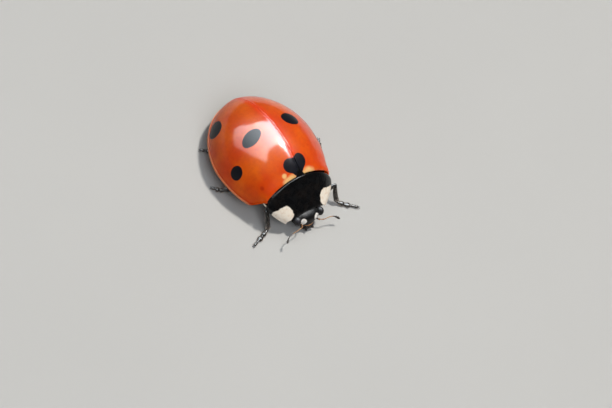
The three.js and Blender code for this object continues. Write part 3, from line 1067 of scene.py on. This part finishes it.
def noteHairs(kind, start, end, wide, flat, radiusAt, count, low, high, spread=(0, 2 * math.pi)):
    # remembers where hairs grow on a limb: root, way out and way along
    start, end = Vector(start), Vector(end)
    axis = (end - start).normalized()
    wide = (Vector(wide) - axis * Vector(wide).dot(axis)).normalized()
    thin = axis.cross(wide)
    for _ in range(count):
        share = low + (high - low) * chance.random()
        turn = spread[0] + (spread[1] - spread[0]) * chance.random()
        out = wide * math.cos(turn) + thin * math.sin(turn) * flat
        root = start.lerp(end, share) + out * radiusAt(share) * 0.93
        outward = (wide * math.cos(turn) * flat + thin * math.sin(turn)).normalized()
        hairRoots[kind].append((root, outward, axis, share, turn / (2 * math.pi)))


def radiusRule(stops):
    def radiusAt(share):
        for (low, lowRadius), (high, highRadius) in zip(stops, stops[1:]):
            if share <= high:
                return lowRadius + (highRadius - lowRadius) * smoothStep(share, low, high)
        return stops[-1][1]
    return radiusAt


def legFrame(name):
    hip, knee, ankle, claws = [Vector(p) if len(p) == 3 else Vector((*p, 0)) for p in legs[name]]
    bend = (knee - hip).cross(ankle - knee).normalized()
    return hip, knee, ankle, claws, bend


def clawMesh(root, tip, side, bm):
    # a curved hook with a tooth near its root
    forward = (tip - root).normalized()
    sideways = Vector((0, 0, 1)).cross(forward).normalized() * side
    end = root + (forward + sideways * legShape["clawSpread"]).normalized() * legShape["clawLength"]
    end.z = 0.012
    radius, curl = legShape["clawRadius"], legShape["clawCurl"]
    up = Vector((0, 0, 1))
    stops = ((0, radius), (0.5, radius * 0.7), (1, radius * 0.12))
    joinInto(bm, limbPart(root, end, stops, up, 0.8, curl, 10, 10))
    toothRoot = root.lerp(end, 0.25) + up * curl * 0.5
    toothEnd = root.lerp(end, legShape["toothShare"]) + Vector((0, 0, -0.02))
    joinInto(bm, limbPart(toothRoot, toothEnd, ((0, radius * 0.7), (1, radius * 0.15)), up, 0.8, 0, 8, 5))


def footPoints(ankle, claws):
    # the foot's joints: it steps down from the ankle and runs along the floor
    run = Vector((claws.x - ankle.x, claws.y - ankle.y, 0))
    reach = run.length - legShape["clawLength"] * 0.62
    ahead = run.normalized()
    points = []
    height = ankle.z - 0.05
    for start, end, endZ, stops, flat in legShape["foot"]:
        a = Vector((ankle.x, ankle.y, 0)) + ahead * reach * start / 0.88
        b = Vector((ankle.x, ankle.y, 0)) + ahead * reach * end / 0.88
        a.z, b.z = height, endZ
        points.append((a, b, stops, flat))
        height = endZ + 0.01
    return points, ahead


def legMesh(name):
    hip, knee, ankle, claws, bend = legFrame(name)
    bm = bmesh.new()
    wideFemur = bend.cross(knee - hip)
    wideTibia = bend.cross(ankle - knee)
    joinInto(bm, ballSolid(hip + (knee - hip).normalized() * 0.06, [legShape["trochanter"]] * 3, 20, 14))
    joinInto(bm, limbPart(hip, knee, legShape["femur"], wideFemur, legShape["femurFlat"], 0.03, 24, 22))
    joinInto(bm, ballSolid(knee, [0.088] * 3, 18, 12))
    tibia, flatTibia = legShape["tibia"], legShape["tibiaFlat"]
    joinInto(bm, limbPart(knee, ankle, tibia, wideTibia, flatTibia, legShape["tibiaBow"], 20, 20))
    foot, ahead = footPoints(ankle, claws)
    flatWays = Vector((0, 0, 1)).cross(ahead)
    for a, b, stops, flat in foot:
        joinInto(bm, limbPart(a, b, stops, flatWays, flat, 0, 18, 12))
    clawRoot = foot[-1][1] + ahead * 0.01
    for hand in (-1, 1):
        clawMesh(clawRoot, Vector((claws.x, claws.y, 0)), hand, bm)
    # where its hairs grow
    noteHairs("shin", knee, ankle, wideTibia, flatTibia, radiusRule(tibia), 150, 0.15, 1.0)
    noteHairs("shin", knee, ankle, wideTibia, flatTibia, radiusRule(tibia), 60, 0.8, 1.0)
    femurRadius = radiusRule(legShape["femur"])
    noteHairs("shin", hip, knee, wideFemur, legShape["femurFlat"], femurRadius, 70, 0.4, 1.0)
    for index, (a, b, stops, flat) in enumerate(foot):
        rule = radiusRule(stops)
        noteHairs("foot", a, b, flatWays, flat, rule, (90, 90, 10, 46)[index], 0.2, 1.0)
        if index < 2:  # the brush under the pads
            below = (math.pi * 1.15, math.pi * 1.85)
            noteHairs("foot", a, b, flatWays, flat, rule, 150, 0.3, 1.0, below)
    return bm


def hipMesh(pair, side):
    center, radii = hips[pair]
    bm = ballSolid((0, 0, 0), radii, 40, 28)
    # the outer end is cut down to the trochanter's socket
    movePoints(bm, lambda p: Vector((p.x, p.y * (1 - 0.25 * smoothStep(p.x / radii[0], 0.3, 1)), p.z)))
    bmesh.ops.translate(bm, vec=center, verts=bm.verts)
    return bm if side > 0 else mirrored(bm)


def legMaterial():
    colors = {
        "black": (0.006, 0.0055, 0.0055),
        "brown": (0.028, 0.017, 0.011),
        "grey": (0.035, 0.034, 0.033),
    }
    material, nodes, shader = newMaterial(
        "legChitin", roughness=0.3, specular=0.5, coat=0.35, coatRoughness=0.12,
    )
    z = nodes.xyz["Z"]
    color = nodes.mix(nodes.remap(nodes.noise(3.0, detail=4), 0.42, 0.68), colors["black"], colors["brown"])
    color = nodes.mix(nodes.remap(nodes.noise(14.0, detail=3), 0.5, 0.75, 0, 0.5), color, colors["grey"])
    color = nodes.mix(nodes.remap(z, 0.05, 0.22, 0.7, 0), color, colors["brown"])
    nodes.join(color, shader.inputs["Base Color"])
    cells = nodes.cells(26.0)
    relief = nodes.bump(nodes.remap(cells, 0.05, 0.35), 0.000003, 0.6)
    nodes.join(relief, shader.inputs["Normal"])
    nodes.join(nodes.remap(nodes.noise(8.0, detail=3), 0.3, 0.7, 0.24, 0.42), shader.inputs["Roughness"])
    return material


chance = random.Random(7)
legFinish = legMaterial()
for name in legs:
    pair, hand = name.split("_")
    title = pair.capitalize() + hand.capitalize()
    nodes = ["leg_" + name + "_" + part for part in ("femur", "tibia", "tarsus")]
    finishPiece(legMesh(name), "leg" + title, legFinish, nodes)
    side = 1 if hand == "left" else -1
    finishPiece(hipMesh(pair, side), "hip" + title, legFinish, ["leg_" + name + "_coxa"])
print("legs made")


# underside

belly = {
    "inset": 0.30,
    "bellyZ": 0.56,
    "flatness": 0.68,
    "lidRise": 0.35,  # the hidden upper side
    "waistGap": 0.01,
    "frontY": -2.28,
    "waistY": 0.36,
    "segments": (0.36, 1.22, 1.85, 2.38, 2.84, 3.22, 3.62),  # front edge of each plate
    "step": 0.045,  # how far each plate's hind edge stands over the next
    "around": 96,
    "along": 150,
}


def underPoint(station, turnX, turnZ):
    inset = belly["inset"]
    fullness = superCurve(station, dome["roundness"])
    rim = domePoint(station, 0, inset)
    x = rim.x * turnX
    if turnZ >= 0:
        return Vector((x, rim.y, rim.z + belly["lidRise"] * fullness * turnZ))
    depth = (rim.z - belly["bellyZ"]) * math.sqrt(fullness)
    return Vector((x, rim.y, rim.z - depth * (-turnZ) ** belly["flatness"]))


def segmentStep(y):
    for front, hind in zip(belly["segments"], belly["segments"][1:]):
        if front <= y < hind:
            share = (y - front) / (hind - front)
            return belly["step"] * share * (1 - 0.9 * smoothStep(share, 0.93, 1.0))
    return 0


def underMesh(fromY, toY, rule):
    bm = bmesh.new()
    bmesh.ops.create_uvsphere(bm, u_segments=belly["around"], v_segments=belly["along"], radius=1)
    bmesh.ops.rotate(bm, cent=(0, 0, 0), matrix=Matrix.Rotation(math.pi / 2, 3, "X"), verts=bm.verts)

    def place(p):
        station = min(max(p.y, -1), 1)
        ring = math.sqrt(max(1 - station ** 2, 0))
        point = underPoint(station, p.x / ring, p.z / ring) if ring > 1e-6 else underPoint(station, 0, 0)
        return rule(point, p.z / ring if ring > 1e-6 else 0)

    movePoints(bm, place)
    for y, way in ((fromY, -1), (toY, 1)):
        cut = bmesh.ops.bisect_plane(
            bm, geom=bm.verts[:] + bm.edges[:] + bm.faces[:], dist=1e-5,
            plane_co=(0, y, 0), plane_no=(0, way, 0), clear_outer=True,
        )
        rim = [item for item in cut["geom_cut"] if isinstance(item, bmesh.types.BMEdge)]
        if rim:
            bmesh.ops.edgeloop_fill(bm, edges=rim)
    return bm


def abdomenRule(point, turnZ):
    down = max(-turnZ, 0)
    out = Vector((point.x * 0.25, 0, -1)).normalized() if down > 0 else Vector((0, 0, 0))
    side = 0.04 * math.exp(-((abs(point.x) / max(2.2 - 0.35 * point.y, 0.4) - 0.82) / 0.05) ** 2)
    return point + out * (segmentStep(point.y) * min(down * 3, 1) - side * min(down * 4, 1))


def thoraxRule(point, turnZ):
    down = min(max(-turnZ, 0) * 3, 1)
    side = abs(point.x)
    groove = 0.03 * math.exp(-(point.x / 0.03) ** 2) * smoothStep(point.y, -1.2, -0.9)
    seam = 0.035 * math.exp(-((side - 1.42 - 0.12 * (point.y + 0.6)) / 0.035) ** 2)
    front = 0.06 * math.exp(-((point.y + 1.12) / 0.04) ** 2) * smoothStep(1.2, side, side + 0.01)
    wave = 0.05 * math.exp(-((point.y + 1.85) / 0.08) ** 2)
    point.z += (groove + seam + front + wave) * down
    if point.y < -1.4:  # the sides reach out to the shoulders
        reach = smoothStep(-point.y, 1.4, 1.9)
        point.x *= 1 + 0.10 * reach
    return point


neckRing = {
    "center": (0, -2.56, 0.92),
    "radii": (1.62, 0.60, 0.46),
    "narrowing": 0.3,  # of its half width towards the head
    "boxiness": 2.5,  # 2 is a ball
    "keel": 0.05,
    "keelWidth": 0.09,
}


def neckRingMesh():
    bm = ballSolid((0, 0, 0), (1, 1, 1), 64, 48)
    (x, y, z), (halfWidth, halfLength, halfHeight) = neckRing["center"], neckRing["radii"]

    def rule(p):
        p = boxyBall(p, neckRing["boxiness"])
        keel = neckRing["keel"] * math.exp(-(p.x / neckRing["keelWidth"]) ** 2)
        keel *= smoothStep(-p.z, 0.3, 0.9)
        wide = halfWidth - neckRing["narrowing"] * max(-p.y, 0)
        return Vector((x + wide * p.x, y + halfLength * p.y, z + halfHeight * p.z - keel))

    movePoints(bm, rule)
    return bm


sidePlate = {
    # corners of the pale plate by the middle leg, left side
    "corners": (
        (1.50, -1.72, 0.70), (1.90, -1.62, 1.10), (2.06, -1.98, 1.46),
        (1.96, -2.20, 1.26), (1.62, -2.02, 0.86),
    ),
    "thickness": 0.07,
    "bulge": 0.03,
}


def sidePlateMesh(side):
    bm = bmesh.new()
    bm.faces.new([bm.verts.new(corner) for corner in sidePlate["corners"]])
    bmesh.ops.inset_region(bm, faces=bm.faces[:], thickness=0.05, depth=sidePlate["bulge"])
    bmesh.ops.triangulate(bm, faces=bm.faces[:])
    bmesh.ops.subdivide_edges(bm, edges=bm.edges[:], cuts=3, use_grid_fill=True)
    bmesh.ops.smooth_vert(bm, verts=bm.verts, factor=0.5, use_axis_x=True, use_axis_y=True, use_axis_z=True)
    faceTowards(bm, Vector((1, 0, 0)))
    thicken(bm, sidePlate["thickness"])
    return bm if side > 0 else mirrored(bm)


def undersideMaterial():
    colors = {"black": (0.007, 0.0065, 0.0065), "brown": (0.022, 0.014, 0.010)}
    material, nodes, shader = newMaterial("undersideChitin", roughness=0.45, specular=0.4)
    color = nodes.mix(nodes.remap(nodes.noise(2.2, detail=4), 0.42, 0.66), colors["black"], colors["brown"])
    nodes.join(color, shader.inputs["Base Color"])
    pits = nodes.cells(12.0)
    relief = nodes.bump(nodes.remap(pits, 0.05, 0.35), 0.000005, 0.7)
    relief = nodes.bump(nodes.noise(40.0, detail=3), 0.0000015, 0.6, relief)
    nodes.join(relief, shader.inputs["Normal"])
    nodes.join(nodes.remap(nodes.noise(5.0, detail=3), 0.3, 0.7, 0.36, 0.55), shader.inputs["Roughness"])
    return material


underFinish = undersideMaterial()
paleFinish = mottledMaterial(
    "paleChitin", (0.74, 0.66, 0.52), (0.36, 0.33, 0.28),
    (4.5, 4, 0.44, 0.7), (9.0, 0.3, 0.5), (25.0, 0.000003, 0.6), roughness=0.4, specular=0.4, coat=0.3,
)
abdomenMesh = underMesh(belly["waistY"], 9, abdomenRule)
thoraxMesh = underMesh(belly["frontY"], belly["waistY"] - belly["waistGap"], thoraxRule)
finishPiece(abdomenMesh, "abdomenPlates", underFinish, ["abdomen"], 50)
finishPiece(thoraxMesh, "thoraxPlates", underFinish, ["thorax"], 50)
finishPiece(neckRingMesh(), "neckRing", underFinish, ["prothorax"])
for side, hand in ((1, "Left"), (-1, "Right")):
    finishPiece(sidePlateMesh(side), "sidePlate" + hand, paleFinish, [], 50)
print("underside made")


# hairs

hairs = {
    "sides": 4,
    "rings": 3,
    "patch": 0.003,  # size of a hair's place in the colour map
    # length, radius, lean along the limb, spread of length
    "foot": (0.085, 0.0042, 0.9, 0.35),
    "shin": (0.085, 0.0038, 1.6, 0.35),
    "belly": (0.11, 0.0035, 2.2, 0.4),
}


def hairShape():
    # one hair along Z, one unit long, as points and faces
    bm = bmesh.new()
    bmesh.ops.create_cone(
        bm, cap_ends=True, segments=hairs["sides"], radius1=1, radius2=0.12, depth=1,
    )
    bmesh.ops.translate(bm, vec=(0, 0, 0.5), verts=bm.verts)
    for ring in range(1, hairs["rings"]):
        bmesh.ops.bisect_plane(
            bm, geom=bm.verts[:] + bm.edges[:] + bm.faces[:], dist=1e-6,
            plane_co=(0, 0, ring / hairs["rings"]), plane_no=(0, 0, 1),
        )
    bm.verts.index_update()
    points = [vert.co.copy() for vert in bm.verts]
    faces = [[vert.index for vert in face.verts] for face in bm.faces]
    bm.free()
    return points, faces


def hairCoat(name, roots, kind, material):
    # copies of one hair, joined into a mesh; each has its own small patch in the colour map
    points, faces = hairShape()
    length, radius, lean, spread = hairs[kind]
    allPoints, allFaces, places = [], [], []
    for root, outward, along, u, v in roots:
        size = length * (1 - spread * chance.random())
        drift = Vector([chance.uniform(-0.25, 0.25) for _ in range(3)])
        tipWay = (outward + along * lean + drift).normalized()
        startWay = (outward * 1.2 + along * lean * 0.5 + drift).normalized()
        sideways = startWay.orthogonal().normalized()
        other = startWay.cross(sideways)
        first = len(allPoints)
        for p in points:
            way = startWay.lerp(tipWay, min(p.z, 1) * 0.5)
            point = root + way * p.z * size + (sideways * p.x + other * p.y) * radius
            point.z = max(point.z, 0.002)
            allPoints.append((point + Vector((0, bodyShift, 0))) * mm)
            places.append((u + p.x * hairs["patch"] / 2, v + (p.z - 0.5) * hairs["patch"]))
        allFaces.extend([[first + index for index in face] for face in faces])
    mesh = bpy.data.meshes.new(name)
    mesh.from_pydata(allPoints, [], allFaces)
    layer = mesh.uv_layers.new(name="OFBake")
    for loop in mesh.loops:
        layer.data[loop.index].uv = places[loop.vertex_index]
    mesh.shade_smooth()
    piece = addObject(name, mesh, material)
    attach(piece, "root")


def bellyRoots(count):
    roots = []
    while len(roots) < count:
        y = chance.uniform(-1.9, 3.8)
        across = chance.uniform(-0.95, 0.95)
        reach = dome["front"] if y < dome["station"] else dome["rear"]
        station = (y - dome["station"]) / (reach - belly["inset"])
        if abs(station) > 0.97:
            continue
        down = -math.sqrt(1 - across ** 2)
        rule = abdomenRule if y > belly["waistY"] else thoraxRule
        root = rule(underPoint(station, across, down), down)
        outward = Vector((across * 0.8, 0, -1)).normalized()
        roots.append((root, outward, Vector((0, 1, 0)), 0.02 + 0.96 * (y + 1.9) / 5.7, 0.5 + across * 0.48))
    return roots


def spreadOut(roots):
    # gives each limb hair its place in the colour map: limbs side by side, each unrolled
    placed = []
    for index, (root, outward, along, share, turn) in enumerate(roots):
        lane = (index * 7 % 97) / 97
        placed.append((root, outward, along, 0.02 + 0.96 * share, 0.02 + 0.96 * ((turn + lane) % 1)))
    return placed


hairFinish = mottledMaterial(
    "paleHair", (0.50, 0.40, 0.30), (0.34, 0.29, 0.26),
    (3.0, 3, 0.4, 0.65), (6.0, 0.38, 0.55), roughness=0.45, specular=0.5,
)
hairCoat("footHairs", spreadOut(hairRoots["foot"]), "foot", hairFinish)
hairCoat("shinHairs", spreadOut(hairRoots["shin"]), "shin", hairFinish)
hairCoat("bellyHairs", bellyRoots(1600), "belly", hairFinish)
print("hairs made")


# floor and light

studio = {
    "floorColor": (0.47, 0.465, 0.45),
    "world": (0.84, 0.90, 1.0),
    "worldStrength": 0.07,
    "panelDistance": 500.0,  # mm
    # a soft panel overhead and a brighter narrow one inside it; corners are shares of the distance
    "softPanel": {
        "facing": (-0.296, 0.440, 0.848),
        "color": (0.86, 0.95, 1.0),
        "strength": 23.0,
        "soften": 0.17,
        "fall": 0.62,  # how much dimmer it gets across
        "corners": (
            (-0.371, 0.703), (0.166, 0.343), (0.725, 0.317),
            (0.994, 0.009), (1.146, -0.44), (0.158, -0.483),
            (-0.189, -0.749), (-0.359, -0.49), (-0.585, -0.139), (-0.767, 0.375), (-0.595, 0.552),
        ),
    },
    "stripPanel": {
        "facing": (0.383, -0.118, 0.916),
        "color": (0.97, 0.96, 1.0),
        "strength": 34.0,
        "soften": 0.045,
        "fall": 0.0,
        "corners": (
            (-0.038, 0.303), (0.04, 0.205), (0.083, -0.02),
            (0.129, -0.302), (0.025, -0.302), (-0.074, -0.042),
            (-0.161, 0.15),
        ),
    },
    "sunFacing": (0.327, 0.007, 0.945),
    "sunDistance": 700.0,
    "sunSize": 80.0,
    "sunPower": 3.8,
    "sunColor": (1.0, 0.96, 0.90),
    "fillFacing": (-0.25, -0.55, 0.80),
    "fillDistance": 600.0,
    "fillSize": 400.0,
    "fillPower": 1.6,
    "fillColor": (0.92, 0.95, 1.0),
}


def makeFloor():
    bm = bmesh.new()
    bmesh.ops.create_grid(bm, x_segments=1, y_segments=1, size=3)
    material, nodes, shader = newMaterial("floorPaint", roughness=0.7, specular=0.2)
    tone = nodes.remap(nodes.noise(0.05, detail=3), 0.3, 0.7, 0.97, 1.0)
    color = nodes.mix(tone, (0, 0, 0), studio["floorColor"])
    nodes.join(color, shader.inputs["Base Color"])
    floor = addObject("floor", meshFrom(bm, "floor"), material)


def makePanel(name):
    # a glowing sheet that fades out towards its edge, seen only in reflections
    panel = studio[name]
    facing = Vector(panel["facing"]).normalized()
    sideways = Vector((0, 1, 0)).cross(facing).normalized()
    upward = facing.cross(sideways)
    bm = bmesh.new()
    corners = []
    for a, b in panel["corners"]:
        place = facing + sideways * a + upward * b
        corners.append(bm.verts.new(place.normalized() * studio["panelDistance"] * mm))
    bm.faces.new(corners)
    bmesh.ops.inset_region(bm, faces=bm.faces[:], thickness=panel["soften"] * studio["panelDistance"] * mm)
    rim = set(corners)
    glowLayer = bm.verts.layers.float.new("glow")
    for vert in bm.verts:
        dimming = panel["fall"] * (0.5 - vert.co.normalized().dot(sideways))
        vert[glowLayer] = 0 if vert in rim else 1 - dimming
    bmesh.ops.triangulate(bm, faces=[face for face in bm.faces if not rim & set(face.verts)])
    material = bpy.data.materials.new(name + "Glow")
    material.use_nodes = True
    tree = material.node_tree
    tree.nodes.clear()
    fade = tree.nodes.new("ShaderNodeAttribute")
    fade.attribute_name = "glow"
    strength = tree.nodes.new("ShaderNodeMath")
    strength.operation = "MULTIPLY"
    strength.inputs[1].default_value = panel["strength"]
    tree.links.new(fade.outputs["Fac"], strength.inputs[0])
    glow = tree.nodes.new("ShaderNodeEmission")
    glow.inputs["Color"].default_value = (*panel["color"], 1)
    tree.links.new(strength.outputs["Value"], glow.inputs["Strength"])
    clear = tree.nodes.new("ShaderNodeBsdfTransparent")
    blend = tree.nodes.new("ShaderNodeMixShader")
    tree.links.new(fade.outputs["Fac"], blend.inputs["Fac"])
    tree.links.new(clear.outputs["BSDF"], blend.inputs[1])
    tree.links.new(glow.outputs["Emission"], blend.inputs[2])
    output = tree.nodes.new("ShaderNodeOutputMaterial")
    tree.links.new(blend.outputs["Shader"], output.inputs["Surface"])
    sheet = addObject(name, meshFrom(bm, name), material)
    sheet.visible_camera = False
    sheet.visible_diffuse = False
    sheet.visible_shadow = False


def makeLamp(name):
    light = bpy.data.lights.new(name, "AREA")
    light.shape = "DISK"
    light.size = studio[name + "Size"] * mm
    light.energy = studio[name + "Power"]
    light.color = studio[name + "Color"]
    lamp = bpy.data.objects.new(name, light)
    facing = Vector(studio[name + "Facing"]).normalized()
    turn = facing.to_track_quat("Z", "Y").to_matrix().to_4x4()
    lamp.matrix_world = Matrix.Translation(facing * studio[name + "Distance"] * mm) @ turn
    bpy.context.scene.collection.objects.link(lamp)
    return lamp


def makeWorld():
    world = bpy.data.worlds.new("studio")
    world.use_nodes = True
    background = world.node_tree.nodes["Background"]
    background.inputs["Color"].default_value = (*studio["world"], 1)
    background.inputs["Strength"].default_value = studio["worldStrength"]
    bpy.context.scene.world = world


makeFloor()
makePanel("softPanel")
makePanel("stripPanel")
makeLamp("sun")
makeLamp("fill").visible_glossy = False
makeWorld()
bpy.context.scene.view_settings.view_transform = "Standard"
print("floor and lights made")
